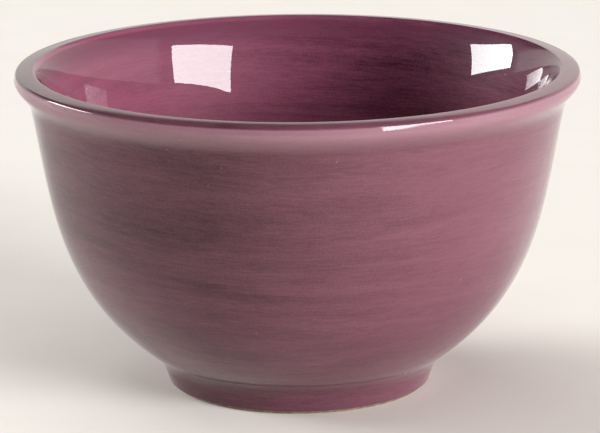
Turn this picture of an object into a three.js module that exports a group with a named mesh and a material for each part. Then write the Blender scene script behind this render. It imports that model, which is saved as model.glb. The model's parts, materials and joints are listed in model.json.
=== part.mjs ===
// Footed ceramic bowl with a rolled lip. The clay body and the foot ring luted under it are
// fired clay, and three glaze coats cover all of them except the ring that the bowl stands on.
// Millimetres, +Z up. The origin is at the centre of the foot, on the surface it stands on.

import * as THREE from 'three';

// Driving dimensions
const height = 87.2; // from the foot to the crest of the lip
const crestRadius = 71; // highest line of the lip
const topOuterRadius = 74.85; // the lip's top falls a little from the crest to here
const topFall = 0.4;
const cornerRadius = 0.9; // outer corner of the lip
const cornerStart = 0.209; // the corner turns between these angles from horizontal, in radians
const cornerEnd = 1.396;
const rimRadius = 76; // widest line of the lip
const rimHeight = 84.7;
const neckRadius = 71.7; // outside, where the lip runs into the wall
const neckHeight = 77.15;
const neckLean = 0.195; // lean of the outer wall there, in radians from vertical
const jointRadius = 37.9; // outside, where the wall meets the foot ring
const jointHeight = 7.4;
const jointSlope = 0.6; // slope of the outer wall there, in radians from horizontal
const footRadius = 35.6; // outside, at the lower edge of the glaze
const throatRadius = 68.1; // inside, where the lip runs into the flare
const throatHeight = 83.1;
const throatLean = 0.42;
const bellyRadius = 62.2; // inside, where the wall is steepest
const bellyHeight = 60;
const bellyLean = 0.22;
const wellRadius = 34.1; // inside, where the wall runs into the floor
const wellHeight = 11.75;
const wellSlope = 0.455;
const floorHeight = 9.9;
const recessRadius = 31; // hollow under the bowl, inside the foot ring, in the clay
const recessHeight = 4.9;
const glazeThickness = 0.4;
const bareHeight = 0.9; // the glaze is wiped off below this height
const contactInnerRadius = 31.7; // the ground flat that the bowl stands on
const contactOuterRadius = 34.5;

const sides = 48; // facets round the axis
const steps = 7; // points along each curve of the outline

// Lengths of the handles that round the curves of the outline
const wallHandles = { joint: 34, neck: 27.4 };
const lipHandles = { neck: 4, underRim: 2.2, overRim: 0.1, crestOut: 1.2, crestIn: 0.8, throat: 1.5 };
const insideHandles = { throat: 8, aboveBelly: 7, belowBelly: 15, well: 21, wellFloor: 4, floor: 18 };

const clayColor = new THREE.Color(0.62, 0.55, 0.47);
const insideColor = new THREE.Color(0.27, 0.08, 0.16);
const outsideColor = new THREE.Color(0.29, 0.13, 0.18);

// A point at a distance from (radius, z), in a direction given by its angle above horizontal
function away(radius, z, angle, distance) {
  return [radius + distance * Math.cos(angle), z + distance * Math.sin(angle)];
}

// The glazed outside: from the wiped edge on the foot up to the crest of the lip
function outsideOutline() {
  const upWall = Math.PI / 2 - neckLean;
  const cornerHeight = height - topFall - cornerRadius;
  return new THREE.Path()
    .moveTo(footRadius, bareHeight)
    .lineTo(jointRadius, jointHeight)
    .bezierCurveTo(
      ...away(jointRadius, jointHeight, jointSlope, wallHandles.joint),
      ...away(neckRadius, neckHeight, upWall, -wallHandles.neck),
      neckRadius, neckHeight)
    .bezierCurveTo(
      ...away(neckRadius, neckHeight, upWall, lipHandles.neck),
      rimRadius, rimHeight - lipHandles.underRim,
      rimRadius, rimHeight)
    .quadraticCurveTo(
      rimRadius, rimHeight + lipHandles.overRim,
      ...away(topOuterRadius, cornerHeight, cornerStart, cornerRadius))
    .absarc(topOuterRadius, cornerHeight, cornerRadius, cornerStart, cornerEnd, false)
    .quadraticCurveTo(
      crestRadius + lipHandles.crestOut, height,
      crestRadius, height)
    .getPoints(steps);
}

// The glazed inside: from the crest of the lip down to the middle of the floor
function insideOutline() {
  const upFlare = Math.PI / 2 - throatLean;
  const upWall = Math.PI / 2 - bellyLean;
  return new THREE.Path()
    .moveTo(crestRadius, height)
    .bezierCurveTo(
      crestRadius - lipHandles.crestIn, height,
      ...away(throatRadius, throatHeight, upFlare, lipHandles.throat),
      throatRadius, throatHeight)
    .bezierCurveTo(
      ...away(throatRadius, throatHeight, upFlare, -insideHandles.throat),
      ...away(bellyRadius, bellyHeight, upWall, insideHandles.aboveBelly),
      bellyRadius, bellyHeight)
    .bezierCurveTo(
      ...away(bellyRadius, bellyHeight, upWall, -insideHandles.belowBelly),
      ...away(wellRadius, wellHeight, wellSlope, insideHandles.well),
      wellRadius, wellHeight)
    .bezierCurveTo(
      ...away(wellRadius, wellHeight, wellSlope, -insideHandles.wellFloor),
      insideHandles.floor, floorHeight,
      0, floorHeight)
    .getPoints(steps);
}

// The same outline moved into the material by a distance, square to its run at each point
function inset(outline, distance) {
  const last = outline.length - 1;
  return outline.map((point, i) => {
    const before = outline[Math.max(i - 1, 0)];
    const after = outline[Math.min(i + 1, last)];
    const along = after.clone().sub(before).normalize();
    return new THREE.Vector2(point.x - along.y * distance, point.y + along.x * distance);
  });
}

const outside = outsideOutline();
const glazed = outside.concat(insideOutline().slice(1));
const clay = inset(glazed, glazeThickness);
clay[clay.length - 1].set(0, floorHeight - glazeThickness); // stays on the axis

const crest = outside.length - 1; // the two coats meet here
const joint = 1; // the clay body meets the foot ring here

// Turns a closed outline of [radius, z] points, listed anticlockwise, round the Z axis
function turned(name, outline, color, roughness) {
  const geometry = new THREE.LatheGeometry(outline, sides);
  geometry.rotateX(Math.PI / 2);
  const material = new THREE.MeshStandardMaterial({ color, roughness, metalness: 0 });
  const mesh = new THREE.Mesh(geometry, material);
  mesh.name = name;
  return mesh;
}

function clayBody() {
  const underside = [
    new THREE.Vector2(0, recessHeight),
    new THREE.Vector2(recessRadius, recessHeight),
  ];
  return turned('clay_body', underside.concat(clay.slice(joint)), clayColor, 0.8);
}

function footRing() {
  const outline = [
    new THREE.Vector2(recessRadius, recessHeight),
    new THREE.Vector2(recessRadius, bareHeight),
    new THREE.Vector2(contactInnerRadius, 0),
    new THREE.Vector2(contactOuterRadius, 0),
    clay[0],
    clay[joint],
    new THREE.Vector2(recessRadius, recessHeight),
  ];
  return turned('foot_ring', outline, clayColor, 0.85);
}

// A coat between the clay and the glazed outline, from one point of the outline to another
function coat(name, first, last, color, roughness) {
  const under = clay.slice(first, last + 1).reverse();
  const over = glazed.slice(first, last + 1);
  const outline = under.concat(over);
  const startsOnAxis = outline[0].x === 0;
  return turned(name, startsOnAxis ? outline : outline.concat([outline[0]]), color, roughness);
}

function recessGlaze() {
  const inner = recessRadius - glazeThickness;
  const ceiling = recessHeight - glazeThickness;
  const outline = [
    new THREE.Vector2(0, ceiling),
    new THREE.Vector2(inner, ceiling),
    new THREE.Vector2(inner, bareHeight),
    new THREE.Vector2(recessRadius, bareHeight),
    new THREE.Vector2(recessRadius, recessHeight),
    new THREE.Vector2(0, recessHeight),
  ];
  return turned('recess_glaze', outline, outsideColor, 0.25);
}

const bowl = new THREE.Group();
bowl.add(
  clayBody(),
  footRing(),
  coat('outer_glaze', 0, crest, outsideColor, 0.3),
  coat('inner_glaze', crest, glazed.length - 1, insideColor, 0.15),
  recessGlaze(),
);

export default bowl;
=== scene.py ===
"""The looks of a footed ceramic bowl with a brushed plum glaze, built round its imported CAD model.

The bowl's sizes are in millimetres, and are turned into metres where a mesh or material takes them. The
stage, lights and camera are in metres.
"""

import json
import math

import bpy
import numpy as np
from mathutils import Matrix, Vector, noise

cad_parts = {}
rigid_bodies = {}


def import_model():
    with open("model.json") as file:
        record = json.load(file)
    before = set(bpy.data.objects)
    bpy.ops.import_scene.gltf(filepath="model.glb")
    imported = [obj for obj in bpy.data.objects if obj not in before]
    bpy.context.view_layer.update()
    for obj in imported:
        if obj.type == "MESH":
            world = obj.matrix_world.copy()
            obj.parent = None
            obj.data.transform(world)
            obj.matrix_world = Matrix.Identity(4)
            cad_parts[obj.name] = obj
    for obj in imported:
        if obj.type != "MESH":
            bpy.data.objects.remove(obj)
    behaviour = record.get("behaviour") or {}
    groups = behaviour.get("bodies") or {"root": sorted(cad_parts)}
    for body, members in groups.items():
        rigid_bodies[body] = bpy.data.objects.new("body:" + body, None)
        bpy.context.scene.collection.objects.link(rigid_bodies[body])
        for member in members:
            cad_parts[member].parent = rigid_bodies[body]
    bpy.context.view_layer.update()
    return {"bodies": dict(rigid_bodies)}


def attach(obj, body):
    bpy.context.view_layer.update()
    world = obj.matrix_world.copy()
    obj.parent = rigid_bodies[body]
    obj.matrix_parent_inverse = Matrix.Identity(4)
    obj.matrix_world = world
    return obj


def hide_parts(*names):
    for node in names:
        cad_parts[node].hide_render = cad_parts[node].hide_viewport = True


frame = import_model()

MM = 0.001
BODY = next(iter(frame["bodies"]))

# The bowl's outline: radius and height of the places that shape it, with leans and slopes in radians
HEIGHT = 87.2
CREST_RADIUS = 71.0  # the lip's top falls a little from here ...
TOP_OUTER_RADIUS = 74.85  # ... to here
TOP_FALL = 0.4
TOP_TILT = math.radians(10)  # fall of the top where the corner begins
CORNER_RADIUS = 0.9  # the tight outer corner of the lip
CORNER_TILT = math.radians(78)  # how far the corner turns, from straight up
RIM_RADIUS = 76.0  # the widest line of the lip
RIM_HEIGHT = 84.7
NECK_RADIUS = 71.7  # outside, where the lip runs into the wall
NECK_HEIGHT = 77.15
NECK_LEAN = 0.195
JOINT_RADIUS = 37.9  # outside, where the wall meets the foot ring
JOINT_HEIGHT = 7.4
JOINT_SLOPE = 0.6
COVE_LENGTH = 2.6  # how far the fillet between wall and foot reaches each way
FOOT_RADIUS = 35.6  # outside, at the lower edge of the glaze
THROAT_RADIUS = 68.1  # inside, where the lip runs into the flare
THROAT_HEIGHT = 83.1
THROAT_LEAN = 0.42
BELLY_RADIUS = 62.2  # inside, where the wall is steepest
BELLY_HEIGHT = 60
BELLY_LEAN = 0.22
WELL_RADIUS = 34.1  # inside, where the wall runs into the floor
WELL_HEIGHT = 11.75
WELL_SLOPE = 0.455
FLOOR_HEIGHT = 9.9
RECESS_RADIUS = 31.0  # the hollow under the bowl, in the clay
RECESS_HEIGHT = 4.9
GLAZE = 0.4  # thickness of the coats
GLAZE_EDGE = 0.9  # the glaze is wiped off below this height
CONTACT_INNER = 31.7  # the ground flat that the bowl stands on
CONTACT_OUTER = 34.5

# Lengths of the handles that round the curves of the outline
WALL_HANDLES = {"joint": 34, "neck": 27.4}
COVE_HANDLE = 1.5
LIP_HANDLES = {
    "neck": 4, "under_rim": 2.2, "over_rim": 0.1, "corner": 0.8,
    "top": 0.9, "crest_out": 1.2, "crest_in": 0.8, "throat": 1.5,
}
INSIDE_HANDLES = {"throat": 8, "above_belly": 7, "below_belly": 15, "well": 21, "well_floor": 4, "floor": 18}

# How finely the shape is drawn
SEGMENTS = 288  # round the axis
FOOT_POINTS = 14
COVE_POINTS = 12

# The slight unevenness of hand-finished ware
WOBBLE = 0.08
WOBBLE_INWARD = 0.05  # how far the mean wall lies inside the true one
WOBBLE_ROUND = 1.3  # how fast it changes round the bowl, and for each millimetre up
WOBBLE_UP = 0.03
WOBBLE_SEED = 4
WOBBLE_BASE = 2  # the wobble starts at this height ...
WOBBLE_RISE = 10  # ... and grows to the whole over this one
WOBBLE_REACH = 20  # it is whole outside this radius

# Heights at which the glaze gets thin round the lip, and then pools again on its top
THIN_FROM, THIN_TO = 79.0, 84.0
POOL_FROM, POOL_TO = 85.9, 86.4


# Outlines


def bezier(p0, p1, p2, p3, count):
    """Points of a cubic curve, without its first one."""
    t = np.linspace(0, 1, count + 1)[1:, None]
    p0, p1, p2, p3 = (np.array(p, float) for p in (p0, p1, p2, p3))
    return (1 - t) ** 3 * p0 + 3 * (1 - t) ** 2 * t * p1 + 3 * (1 - t) * t ** 2 * p2 + t ** 3 * p3


def away(point, angle, distance):
    """The point at a distance, in a direction given by its angle above horizontal."""
    return (point[0] + distance * math.cos(angle), point[1] + distance * math.sin(angle))


def foot_and_wall():
    """The outside from the wiped edge of the glaze on the foot up to the neck."""
    foot = (FOOT_RADIUS, GLAZE_EDGE)
    joint = (JOINT_RADIUS, JOINT_HEIGHT)
    neck = (NECK_RADIUS, NECK_HEIGHT)
    up_wall = math.pi / 2 - NECK_LEAN
    up_foot = math.atan2(JOINT_HEIGHT - GLAZE_EDGE, JOINT_RADIUS - FOOT_RADIUS)
    cove_start = away(joint, up_foot, -COVE_LENGTH)
    wall = bezier(
        joint,
        away(joint, JOINT_SLOPE, WALL_HANDLES["joint"]),
        away(neck, up_wall, -WALL_HANDLES["neck"]),
        neck, 120)
    wall = wall[np.linalg.norm(wall - joint, axis=1) > COVE_LENGTH]
    cove = bezier(
        cove_start,
        away(cove_start, up_foot, COVE_HANDLE),
        away(wall[0], JOINT_SLOPE, -COVE_HANDLE),
        wall[0], COVE_POINTS)
    return np.concatenate([np.linspace(foot, cove_start, FOOT_POINTS), cove, wall[1:]])


def lip_outside():
    """The outside from the neck up to the crest of the lip, without its first point."""
    neck = (NECK_RADIUS, NECK_HEIGHT)
    rim = (RIM_RADIUS, RIM_HEIGHT)
    crest = (CREST_RADIUS, HEIGHT)
    up_wall = math.pi / 2 - NECK_LEAN
    under = bezier(
        neck,
        away(neck, up_wall, LIP_HANDLES["neck"]),
        (RIM_RADIUS, RIM_HEIGHT - LIP_HANDLES["under_rim"]),
        rim, 24)
    corner_centre = (TOP_OUTER_RADIUS, HEIGHT - TOP_FALL - CORNER_RADIUS)
    turns = np.linspace(math.pi / 2 - CORNER_TILT, math.pi / 2 - TOP_TILT, 15)
    corner = np.array([away(corner_centre, turn, CORNER_RADIUS) for turn in turns])
    face = bezier(
        rim,
        (RIM_RADIUS, RIM_HEIGHT + LIP_HANDLES["over_rim"]),
        away(corner[0], -CORNER_TILT, LIP_HANDLES["corner"]),
        corner[0], 14)
    top = bezier(
        corner[-1],
        away(corner[-1], math.pi - TOP_TILT, LIP_HANDLES["top"]),
        (CREST_RADIUS + LIP_HANDLES["crest_out"], HEIGHT),
        crest, 14)
    return np.concatenate([under, face, corner[1:], top])


def inside_outline():
    """The inside from the crest of the lip down to the middle of the floor, without its first point."""
    crest = (CREST_RADIUS, HEIGHT)
    throat = (THROAT_RADIUS, THROAT_HEIGHT)
    belly = (BELLY_RADIUS, BELLY_HEIGHT)
    well = (WELL_RADIUS, WELL_HEIGHT)
    middle = (0, FLOOR_HEIGHT)
    up_throat = math.pi / 2 - THROAT_LEAN
    up_belly = math.pi / 2 - BELLY_LEAN
    lip = bezier(
        crest,
        (CREST_RADIUS - LIP_HANDLES["crest_in"], HEIGHT),
        away(throat, up_throat, LIP_HANDLES["throat"]),
        throat, 30)
    upper = bezier(
        throat,
        away(throat, up_throat, -INSIDE_HANDLES["throat"]),
        away(belly, up_belly, INSIDE_HANDLES["above_belly"]),
        belly, 40)
    lower = bezier(
        belly,
        away(belly, up_belly, -INSIDE_HANDLES["below_belly"]),
        away(well, WELL_SLOPE, INSIDE_HANDLES["well"]),
        well, 80)
    floor = bezier(
        well,
        away(well, WELL_SLOPE, -INSIDE_HANDLES["well_floor"]),
        (INSIDE_HANDLES["floor"], FLOOR_HEIGHT),
        middle, 60)
    return np.concatenate([lip, upper, lower, floor])


def inset(outline, distance):
    """The outline moved into the material, square to its run at each point."""
    run = np.gradient(outline, axis=0)
    run /= np.linalg.norm(run, axis=1)[:, None]
    moved = outline + distance * np.stack([-run[:, 1], run[:, 0]], axis=1)
    moved[:, 0] = np.maximum(moved[:, 0], 0)
    return moved


outside = np.concatenate([foot_and_wall(), lip_outside()])
glazed = np.concatenate([outside, inside_outline()])
clay = inset(glazed, GLAZE)
clay[-1] = (0, FLOOR_HEIGHT - GLAZE)  # stays on the axis
joint_index = FOOT_POINTS + COVE_POINTS // 2  # the clay body meets the foot ring here
crest_index = len(outside) - 1  # the two coats meet here


# Meshes


def hand_wobble(cos, sin, radius, height):
    """How far a place lies from the true radius, never outwards. It fades out towards foot and axis."""
    if height <= WOBBLE_BASE:
        return 0
    place = Vector((cos * WOBBLE_ROUND, sin * WOBBLE_ROUND, height * WOBBLE_UP + WOBBLE_SEED))
    fade = min(1, (height - WOBBLE_BASE) / WOBBLE_RISE) * min(1, radius / WOBBLE_REACH)
    return min(0, WOBBLE * noise.noise(place) - WOBBLE_INWARD) * fade


def turned(name, outline):
    """A closed mesh from an outline of (radius, height) points, anticlockwise, round the Z axis.

    An outline that starts and ends on the axis closes there, and any other one closes on itself.
    """
    on_axis = outline[0][0] < 1e-6
    ring_points = outline[1:-1] if on_axis else outline
    count = len(ring_points)
    vertices = []
    for angle in np.linspace(0, 2 * math.pi, SEGMENTS, endpoint=False):
        cos, sin = math.cos(angle), math.sin(angle)
        for radius, height in ring_points:
            radius = radius + hand_wobble(cos, sin, radius, height)
            vertices.append((radius * cos * MM, radius * sin * MM, height * MM))
    faces = []
    spans = count - 1 if on_axis else count
    for i in range(SEGMENTS):
        here, there = i * count, (i + 1) % SEGMENTS * count
        for j in range(spans):
            k = (j + 1) % count
            faces.append((here + j, there + j, there + k, here + k))
    if on_axis:
        for height, j in ((outline[0][1], 0), (outline[-1][1], count - 1)):
            centre = len(vertices)
            vertices.append((0, 0, height * MM))
            for i in range(SEGMENTS):
                here, there = i * count + j, (i + 1) % SEGMENTS * count + j
                faces.append((centre, there, here) if j == 0 else (centre, here, there))
    mesh = bpy.data.meshes.new(name)
    mesh.from_pydata(vertices, [], faces)
    mesh.validate()
    mesh.shade_smooth()
    mesh.set_sharp_from_angle(angle=math.radians(50))
    piece = bpy.data.objects.new(name, mesh)
    bpy.context.scene.collection.objects.link(piece)
    return piece


# Nodes of the materials


def node_tree(name):
    """A new material, with its nodes, its links and its shader."""
    material = bpy.data.materials.new(name)
    material.use_nodes = True
    nodes, links = material.node_tree.nodes, material.node_tree.links
    return material, nodes, links, nodes["Principled BSDF"]


def add(nodes, kind, **values):
    """A node with its inputs set by name."""
    node = nodes.new(kind)
    for key, value in values.items():
        node.inputs[key].default_value = value
    return node


def mixed(nodes, links, first, second, amount):
    """first and second are colours or sockets, mixed by a socket or number."""
    mix = nodes.new("ShaderNodeMix")
    mix.data_type = "RGBA"
    for socket, value in ((mix.inputs[6], first), (mix.inputs[7], second), (mix.inputs[0], amount)):
        if isinstance(value, bpy.types.NodeSocket):
            links.new(value, socket)
        elif isinstance(value, tuple):
            socket.default_value = (*value, 1)
        else:
            socket.default_value = value
    return mix.outputs[2]


def ranged(nodes, links, source, low, high, out_low=0.0, out_high=1.0):
    """source from low..high to out_low..out_high, held at the ends."""
    node = nodes.new("ShaderNodeMapRange")
    links.new(source, node.inputs["Value"])
    values = (low, high, out_low, out_high)
    for key, value in zip(("From Min", "From Max", "To Min", "To Max"), values):
        node.inputs[key].default_value = value
    return node.outputs["Result"]


def product(nodes, links, first, second):
    """Two sockets multiplied."""
    node = nodes.new("ShaderNodeMath")
    node.operation = "MULTIPLY"
    links.new(first, node.inputs[0])
    links.new(second, node.inputs[1])
    return node.outputs["Value"]


def part_of(nodes, links, coords, axis):
    """One part of a vector: X, Y or Z."""
    parts = nodes.new("ShaderNodeSeparateXYZ")
    links.new(coords, parts.inputs["Vector"])
    return parts.outputs[axis]


def strokes(nodes, links, coords, across, along, detail, seed):
    """Noise drawn out round the bowl, as a brush leaves it: across and along are waves a metre."""
    place = (seed, 2 * seed, 3 * seed)
    stretch = add(nodes, "ShaderNodeMapping", Scale=(along, along, across), Location=place)
    texture = add(nodes, "ShaderNodeTexNoise", Scale=1.0, Detail=detail, Roughness=0.6)
    links.new(coords, stretch.inputs["Vector"])
    links.new(stretch.outputs["Vector"], texture.inputs["Vector"])
    return texture.outputs["Fac"]


def hand_coordinates(nodes, links):
    """Object coordinates, plain and with a height that wavers a little, as a hand rises and falls."""
    coords = add(nodes, "ShaderNodeTexCoord").outputs["Object"]
    waver = strokes(nodes, links, coords, 30, 9, 1, 3)
    lift = ranged(nodes, links, waver, 0, 1, -0.006, 0.006)
    up = nodes.new("ShaderNodeCombineXYZ")
    links.new(lift, up.inputs["Z"])
    moved = nodes.new("ShaderNodeVectorMath")
    links.new(coords, moved.inputs[0])
    links.new(up.outputs["Vector"], moved.inputs[1])
    return coords, moved.outputs["Vector"]


def raise_surface(nodes, links, shader, height, strength, distance):
    """Bumps on a shader's surface, from a socket that gives their height."""
    bump = add(nodes, "ShaderNodeBump", Strength=strength, Distance=distance)
    links.new(height, bump.inputs["Height"])
    links.new(bump.outputs["Normal"], shader.inputs["Normal"])


# Materials


def thin_at_lip(nodes, links, coords, amount):
    """How thin the glaze is. It is thin below the lip's corner, full on its top, and uneven as brushed."""
    height = part_of(nodes, links, coords, "Z")
    thin = ranged(nodes, links, height, THIN_FROM * MM, THIN_TO * MM, 0, 0.75)
    below_pool = ranged(nodes, links, height, POOL_FROM * MM, POOL_TO * MM, 1, 0)
    thin = mixed(nodes, links, (0, 0, 0), thin, below_pool)
    return mixed(nodes, links, thin, amount, 0.35)


def specks(nodes, links, coords, seed):
    """Small pale flecks, few and far apart, where the glaze has skipped a grain of the clay."""
    cells = add(nodes, "ShaderNodeTexVoronoi", Scale=420.0)
    links.new(coords, cells.inputs["Vector"])
    near = ranged(nodes, links, cells.outputs["Distance"], 0.03, 0.09, 0.7, 0)
    chosen = ranged(nodes, links, strokes(nodes, links, coords, 60, 60, 2, seed + 7), 0.62, 0.74)
    return product(nodes, links, near, chosen)


def brushed_glaze(name, deep, pale, edge, coat_roughness, contrast, painted_light_across, seed):
    """A glossy coat over pigment that was brushed on round the bowl, thinner at the lip's edge.

    The two places given across the bowl, in metres, mark where the colour turns from deep to pale: this is
    painted light, pale on the lamp-lit side and deep on the shaded side.
    """
    material, nodes, links, shader = node_tree(name)
    coords, hand = hand_coordinates(nodes, links)
    cloud = ranged(nodes, links, strokes(nodes, links, hand, 55, 16, 3, seed), 0.30, 0.72)
    band = ranged(nodes, links, strokes(nodes, links, hand, 420, 26, 4, seed + 1), 0.30, 0.72)
    hair = ranged(nodes, links, strokes(nodes, links, hand, 2300, 210, 5, seed + 2), 0.34, 0.70)
    grain = ranged(nodes, links, strokes(nodes, links, coords, 2600, 2200, 3, seed + 3), 0.36, 0.66)

    amount = mixed(nodes, links, cloud, band, 0.45)
    amount = mixed(nodes, links, amount, hair, 0.30)
    amount = mixed(nodes, links, amount, grain, 0.22)
    amount = ranged(nodes, links, amount, 0.5 - 0.5 / contrast, 0.5 + 0.5 / contrast)
    # Painted light: the colour turns paler towards the side of the bowl that the lamps light, and deeper
    # towards the side in shade
    painted_light_side = ranged(nodes, links, part_of(nodes, links, coords, "X"), *painted_light_across, 0.06, 0.88)
    amount = mixed(nodes, links, amount, painted_light_side, 0.6)

    colour = mixed(nodes, links, deep, pale, amount)
    colour = mixed(nodes, links, colour, edge, thin_at_lip(nodes, links, coords, amount))
    colour = mixed(nodes, links, colour, (0.55, 0.38, 0.40), specks(nodes, links, coords, seed))
    links.new(colour, shader.inputs["Base Color"])
    shader.inputs["Roughness"].default_value = 0.5
    shader.inputs["Specular IOR Level"].default_value = 0.08
    shader.inputs["Coat Weight"].default_value = 1.0
    shader.inputs["Coat Roughness"].default_value = coat_roughness
    shader.inputs["Coat IOR"].default_value = 1.41
    raise_surface(nodes, links, shader, mixed(nodes, links, band, hair, 0.5), 0.35, 0.00015)
    return material


def outer_glaze():
    """The coat outside: it is greyed by many fine brush marks, and is pale where it thins at the lip.
    Painted light makes it paler on its lamp-lit right and deeper on its shaded left.
    """
    return brushed_glaze(
        "outer_glaze_plum",
        deep=(0.028, 0.0010, 0.007), pale=(0.175, 0.032, 0.072), edge=(0.42, 0.23, 0.28),
        coat_roughness=0.05, contrast=1.5, painted_light_across=(-0.022, 0.048), seed=1)


def inner_glaze():
    """The coat inside: glossier, with bolder strokes, and dark at the lip. Painted light makes it paler on
    its lamp-lit left and deeper on its shaded right.
    """
    return brushed_glaze(
        "inner_glaze_plum",
        deep=(0.026, 0.0010, 0.012), pale=(0.430, 0.125, 0.205), edge=(0.12, 0.03, 0.06),
        coat_roughness=0.01, contrast=1.7, painted_light_across=(0.028, -0.050), seed=5)


def bare_clay():
    """Fired clay with no glaze, rough and grainy."""
    material, nodes, links, shader = node_tree("bare_clay")
    coords = add(nodes, "ShaderNodeTexCoord").outputs["Object"]
    grain = ranged(nodes, links, strokes(nodes, links, coords, 900, 600, 6, 9), 0.35, 0.65)
    colour = mixed(nodes, links, (0.17, 0.13, 0.09), (0.33, 0.27, 0.20), grain)
    links.new(colour, shader.inputs["Base Color"])
    shader.inputs["Roughness"].default_value = 0.85
    raise_surface(nodes, links, shader, grain, 0.5, 0.0002)
    return material


def stage_paper():
    """Pale paper with a faint mottle."""
    material, nodes, links, shader = node_tree("stage_paper")
    coords = add(nodes, "ShaderNodeTexCoord").outputs["Object"]
    mottle = ranged(nodes, links, strokes(nodes, links, coords, 40, 40, 5, 11), 0.3, 0.7)
    colour = mixed(nodes, links, (0.870, 0.830, 0.775), (0.890, 0.850, 0.795), mottle)
    links.new(colour, shader.inputs["Base Color"])
    shader.inputs["Roughness"].default_value = 0.9
    shader.inputs["Specular IOR Level"].default_value = 0.1
    return material


# The pieces


def clay_body_outline():
    underside = [(0, RECESS_HEIGHT), (RECESS_RADIUS, RECESS_HEIGHT)]
    return np.concatenate([underside, clay[joint_index:]])


def foot_ring_outline():
    recess_and_flat = [
        (RECESS_RADIUS, RECESS_HEIGHT),
        (RECESS_RADIUS, GLAZE_EDGE),
        (CONTACT_INNER, 0),
        (CONTACT_OUTER, 0),
    ]
    return np.concatenate([recess_and_flat, clay[:joint_index + 1]])


def coat_outline(first, last):
    """A coat between the clay and the glazed outline, from one point of the outline to another."""
    return np.concatenate([clay[first:last + 1][::-1], glazed[first:last + 1]])


def recess_glaze_outline():
    return np.array([
        (0, RECESS_HEIGHT - GLAZE),
        (RECESS_RADIUS - GLAZE, RECESS_HEIGHT - GLAZE),
        (RECESS_RADIUS - GLAZE, GLAZE_EDGE),
        (RECESS_RADIUS, GLAZE_EDGE),
        (RECESS_RADIUS, RECESS_HEIGHT),
        (0, RECESS_HEIGHT),
    ])


def make_bowl():
    outer = outer_glaze()
    inner = inner_glaze()
    fired = bare_clay()
    pieces = (
        ("clay_body", clay_body_outline(), fired, "fired_clay"),
        ("foot_ring", foot_ring_outline(), fired, "fired_clay"),
        ("outer_glaze", coat_outline(0, crest_index), outer, "outer_glaze"),
        ("inner_glaze", coat_outline(crest_index, len(glazed) - 1), inner, "inner_glaze"),
        ("recess_glaze", recess_glaze_outline(), outer, "outer_glaze"),
    )
    for node, outline, material, slot in pieces:
        piece = turned("fine_" + node, outline)
        piece.data.materials.append(material)
        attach(piece, BODY)
        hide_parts(node)


# The stage, lights and camera


def make_floor():
    """A flat round floor of rings that widen outwards."""
    radii = (1.0, 3.0, 8.0)
    sides = 64
    vertices = [(0, 0, 0)]
    for radius in radii:
        for i in range(sides):
            angle = 2 * math.pi * i / sides
            vertices.append((radius * math.cos(angle), radius * math.sin(angle), 0))
    faces = [(0, 1 + i, 1 + (i + 1) % sides) for i in range(sides)]
    for ring in range(len(radii) - 1):
        inner, outer = 1 + ring * sides, 1 + (ring + 1) * sides
        for i in range(sides):
            j = (i + 1) % sides
            faces.append((inner + i, outer + i, outer + j, inner + j))
    mesh = bpy.data.meshes.new("stage_floor")
    mesh.from_pydata(vertices, [], faces)
    mesh.materials.append(stage_paper())
    floor = bpy.data.objects.new("stage_floor", mesh)
    bpy.context.scene.collection.objects.link(floor)


def direction_to(azimuth, elevation):
    """Azimuth 0 is behind the bowl and 90 to its right."""
    azimuth, elevation = math.radians(azimuth), math.radians(elevation)
    level = math.cos(elevation)
    return Vector((math.sin(azimuth) * level, math.cos(azimuth) * level, math.sin(elevation)))


def place_lamp(name, light, azimuth, elevation):
    """Puts a light in the scene, shining on the bowl from a direction."""
    lamp = bpy.data.objects.new(name, light)
    bpy.context.scene.collection.objects.link(lamp)
    lamp.rotation_mode = "QUATERNION"
    lamp.rotation_quaternion = direction_to(azimuth, elevation).to_track_quat("Z", "Y")
    return lamp


def softbox(name, azimuth, elevation, distance, width, height, radiance, glossy=True):
    """A rectangular light that faces the bowl. Only a glossy one is seen in reflections."""
    light = bpy.data.lights.new(name, "AREA")
    light.shape = "RECTANGLE"
    light.size, light.size_y = width, height
    light.energy = radiance * math.pi * width * height
    lamp = place_lamp(name, light, azimuth, elevation)
    lamp.location = Vector((0, 0, 0.08)) + direction_to(azimuth, elevation) * distance
    lamp.visible_camera = False
    lamp.visible_glossy = glossy


def soft_sun(name, azimuth, elevation, strength):
    """Broad even light from far away. It isn't seen in reflections."""
    light = bpy.data.lights.new(name, "SUN")
    light.energy = strength
    light.angle = math.radians(50)
    lamp = place_lamp(name, light, azimuth, elevation)
    lamp.visible_glossy = False


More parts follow.
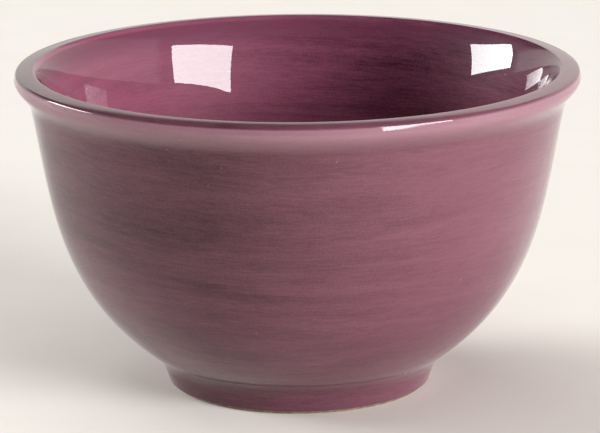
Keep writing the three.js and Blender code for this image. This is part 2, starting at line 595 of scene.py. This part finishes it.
def make_lights():
    softbox("softbox_right", 131.2, 17.6, distance=9, width=4.80, height=2.70, radiance=23)
    softbox("softbox_left", -72.6, 16.6, distance=9, width=4.30, height=2.35, radiance=22)
    softbox("front_fill", 225, 26, distance=2.2, width=2.6, height=1.4, radiance=0.4, glossy=False)
    soft_sun("back_sun", -40, 50, strength=0.72)
    soft_sun("overhead_sun", 180, 80, strength=0.62)


def along(nodes, links, direction, axis):
    """How far a direction points along an axis: 1 is all the way."""
    node = nodes.new("ShaderNodeVectorMath")
    node.operation = "DOT_PRODUCT"
    node.inputs[1].default_value = axis
    links.new(direction, node.inputs[0])
    return node.outputs["Value"]


def make_world():
    """A studio: a bright wall behind and to the right, a pale band at the horizon, and dark elsewhere."""
    world = bpy.data.worlds.new("studio")
    bpy.context.scene.world = world
    world.use_nodes = True
    nodes, links = world.node_tree.nodes, world.node_tree.links
    background = nodes["Background"]
    direction = nodes.new("ShaderNodeTexCoord").outputs["Generated"]
    facing = along(nodes, links, direction, direction_to(26, 0))
    behind = ranged(nodes, links, facing, 0.10, 0.18)
    slanted_height = along(nodes, links, direction, (-0.15, 0, 1))
    below_top = ranged(nodes, links, slanted_height, 0.37, 0.44, 1, 0)
    wall = product(nodes, links, behind, below_top)
    horizon = ranged(nodes, links, part_of(nodes, links, direction, "Z"), 0.06, 0.10, 1, 0)
    colour = mixed(nodes, links, (0.02, 0.018, 0.018), (0.94, 0.915, 0.87), wall)
    colour = mixed(nodes, links, colour, (0.76, 0.74, 0.70), horizon)
    links.new(colour, background.inputs["Color"])


def make_camera():
    """The camera looks down on the bowl from the front, a little turned about its own axis."""
    data = bpy.data.cameras.new("camera")
    data.sensor_width = 36
    data.lens = 208.8
    camera = bpy.data.objects.new("camera", data)
    bpy.context.scene.collection.objects.link(camera)
    camera.location = (0, -0.9155, 0.2758)
    aim = Matrix.Rotation(math.radians(-0.0275), 4, "Z")
    tilt = Matrix.Rotation(math.radians(90 - 14.14), 4, "X")
    roll = Matrix.Rotation(math.radians(-0.38), 4, "Z")
    camera.rotation_mode = "QUATERNION"
    camera.rotation_quaternion = (aim @ tilt @ roll).to_quaternion()
    bpy.context.scene.camera = camera


make_bowl()
make_floor()
make_lights()
make_world()
make_camera()
bpy.context.scene.view_settings.view_transform = "Standard"

bpy.context.view_layer.update()
